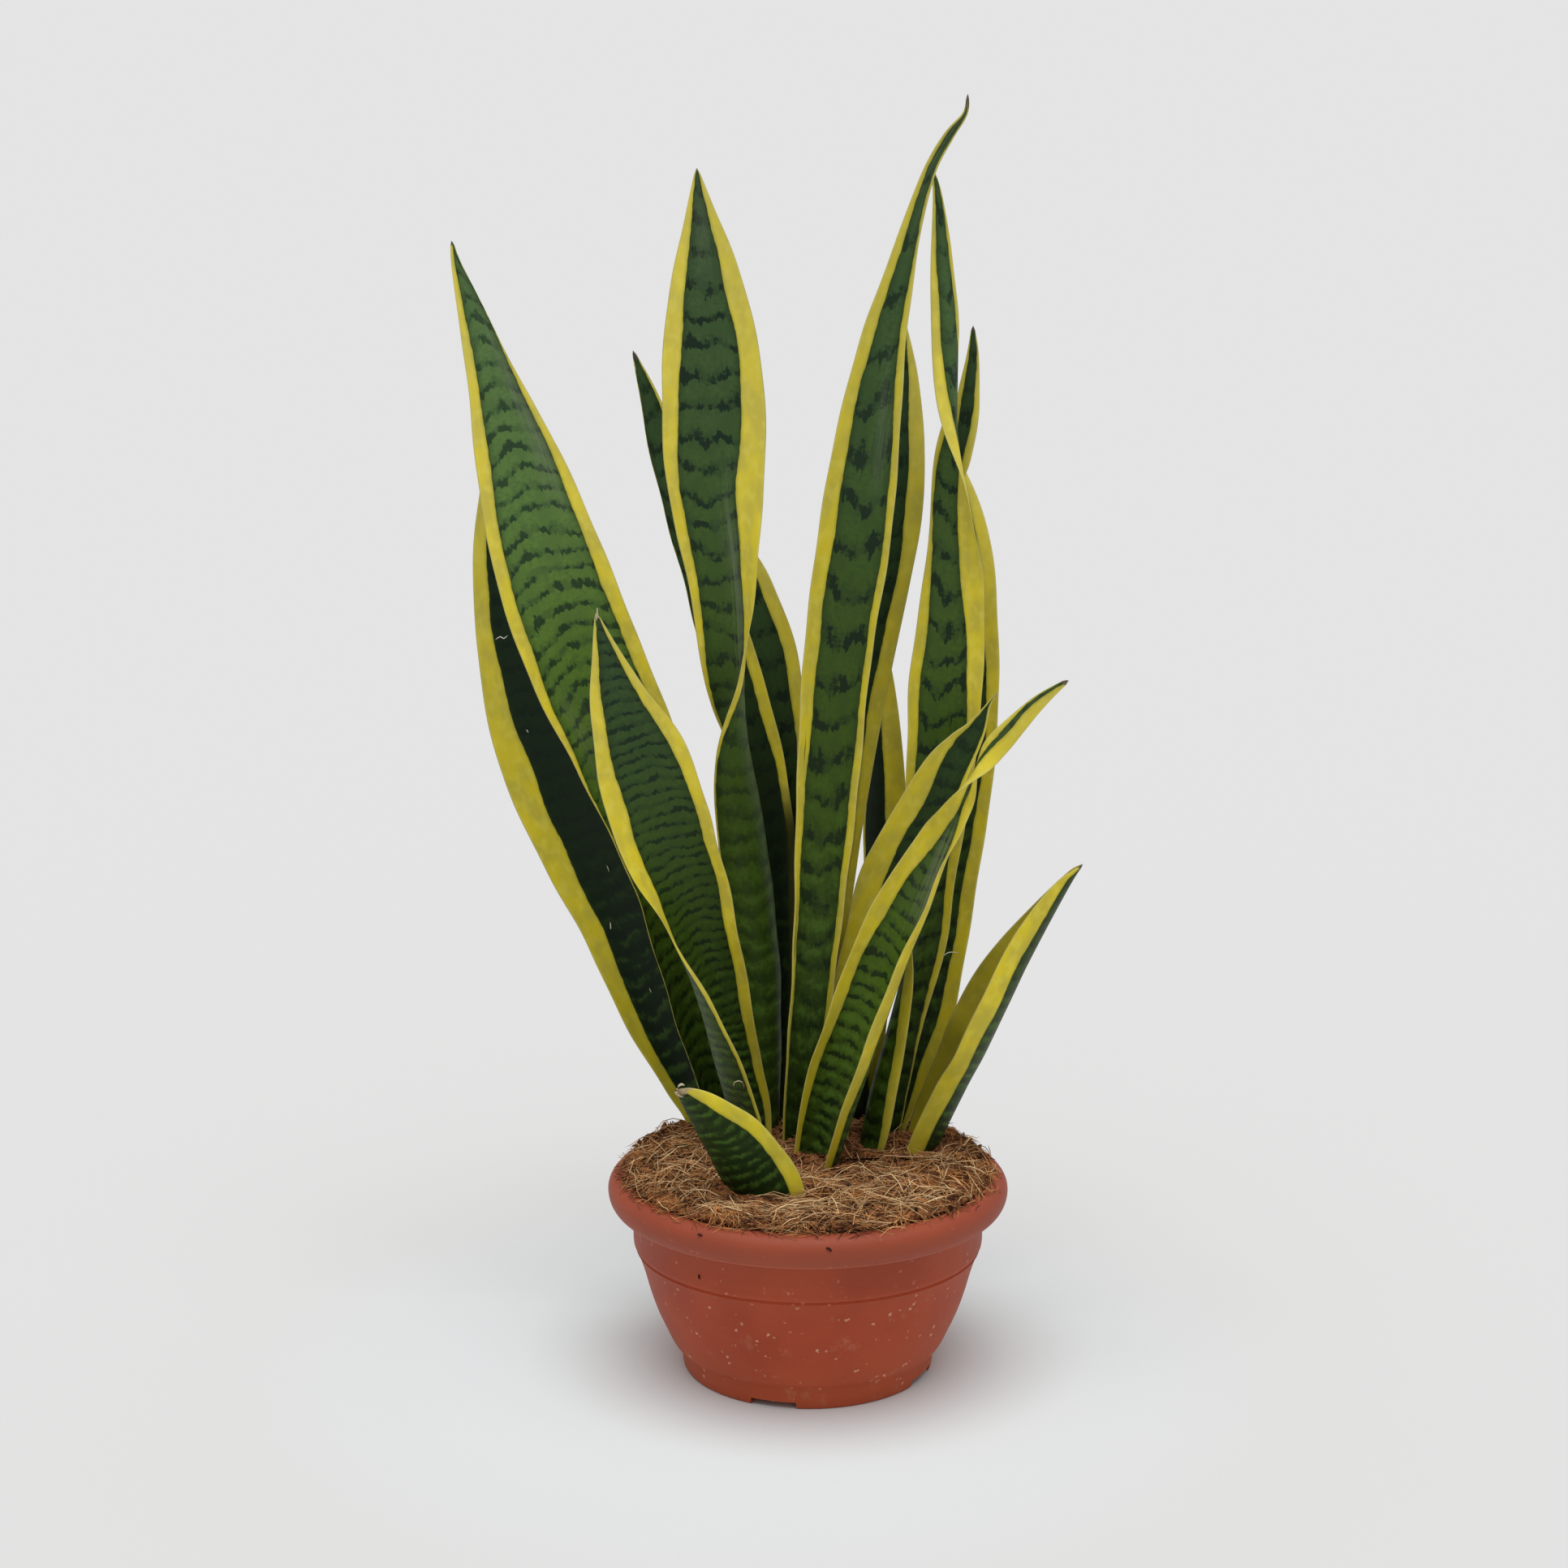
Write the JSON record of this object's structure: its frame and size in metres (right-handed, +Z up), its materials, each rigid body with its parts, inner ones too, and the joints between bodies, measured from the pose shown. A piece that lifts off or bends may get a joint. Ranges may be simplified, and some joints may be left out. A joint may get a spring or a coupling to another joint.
{
  "type": "potted snake plant",
  "caption": "Potted snake plant: stiff upright sword leaves with yellow margins, some twisted, rising from coir mulch in a round bowl planter.",
  "frame": {"origin": "under the middle of the bounding box, on the plane the pot stands on; the pot's axis stands 22.7 mm to +X of it", "axes": "+Z up, the way the leaves grow; -Y is the front, the side seen in the picture; +X is the viewer's right"},
  "size_m": [0.3847, 0.2508, 0.7811],
  "materials": {
    "terracotta_plastic": "satin",
    "soil": "matte",
    "coir": "matte",
    "leaf": "satin"
  },
  "bodies": {
    "root": {"pot": "terracotta_plastic", "potting_soil": "soil", "coir_mulch": "coir", "leaf_centre_tall": "leaf", "leaf_centre_back": "leaf", "leaf_slim_back": "leaf", "leaf_broad_twisted": "leaf", "leaf_mid_behind": "leaf", "leaf_short_behind": "leaf", "leaf_right_twisted": "leaf", "leaf_right_back": "leaf", "leaf_right_inner": "leaf", "leaf_right_arching": "leaf", "leaf_right_low": "leaf", "leaf_left_front": "leaf", "leaf_left_tall": "leaf", "leaf_left_back": "leaf", "leaf_short_front": "leaf"}
  },
  "joints": []
}
